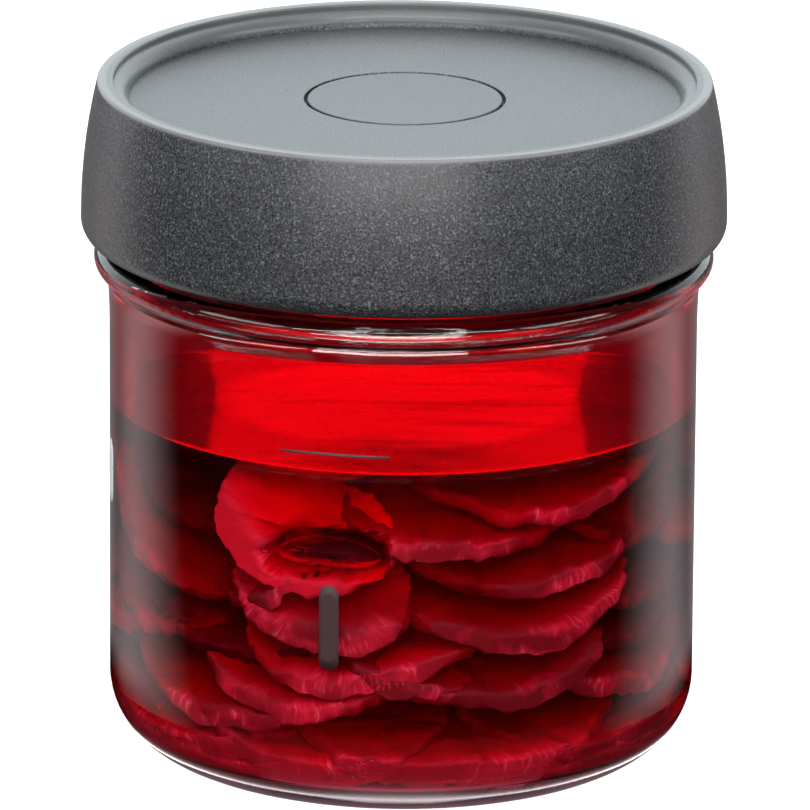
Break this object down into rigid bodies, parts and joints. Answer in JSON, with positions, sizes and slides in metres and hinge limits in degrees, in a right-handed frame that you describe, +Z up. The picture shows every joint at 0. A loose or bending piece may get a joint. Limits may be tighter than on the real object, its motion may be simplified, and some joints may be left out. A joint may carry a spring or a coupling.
{
  "type": "storage jar",
  "caption": "Clear glass storage jar with a collar bead and a tall press-on lid, filled with pickled beetroot slices in red brine up to below its fill line.",
  "frame": {"origin": "centre of the jar's flat foot, on the surface that it stands on", "axes": "+Z up along the jar's axis; -Y faces the side that carries the fill line"},
  "size_m": [0.1156, 0.1156, 0.1234],
  "materials": {
    "glass": "clear, polished",
    "lid_plastic": "anthracite, satin with fine metallic speckle",
    "disc_plastic": "anthracite, fine matt",
    "brine": "clear deep red liquid with slices in it"
  },
  "bodies": {
    "root": {"glass_jar": "glass", "lid": "lid_plastic", "lid_disc": "disc_plastic", "brine": "brine"}
  },
  "joints": []
}
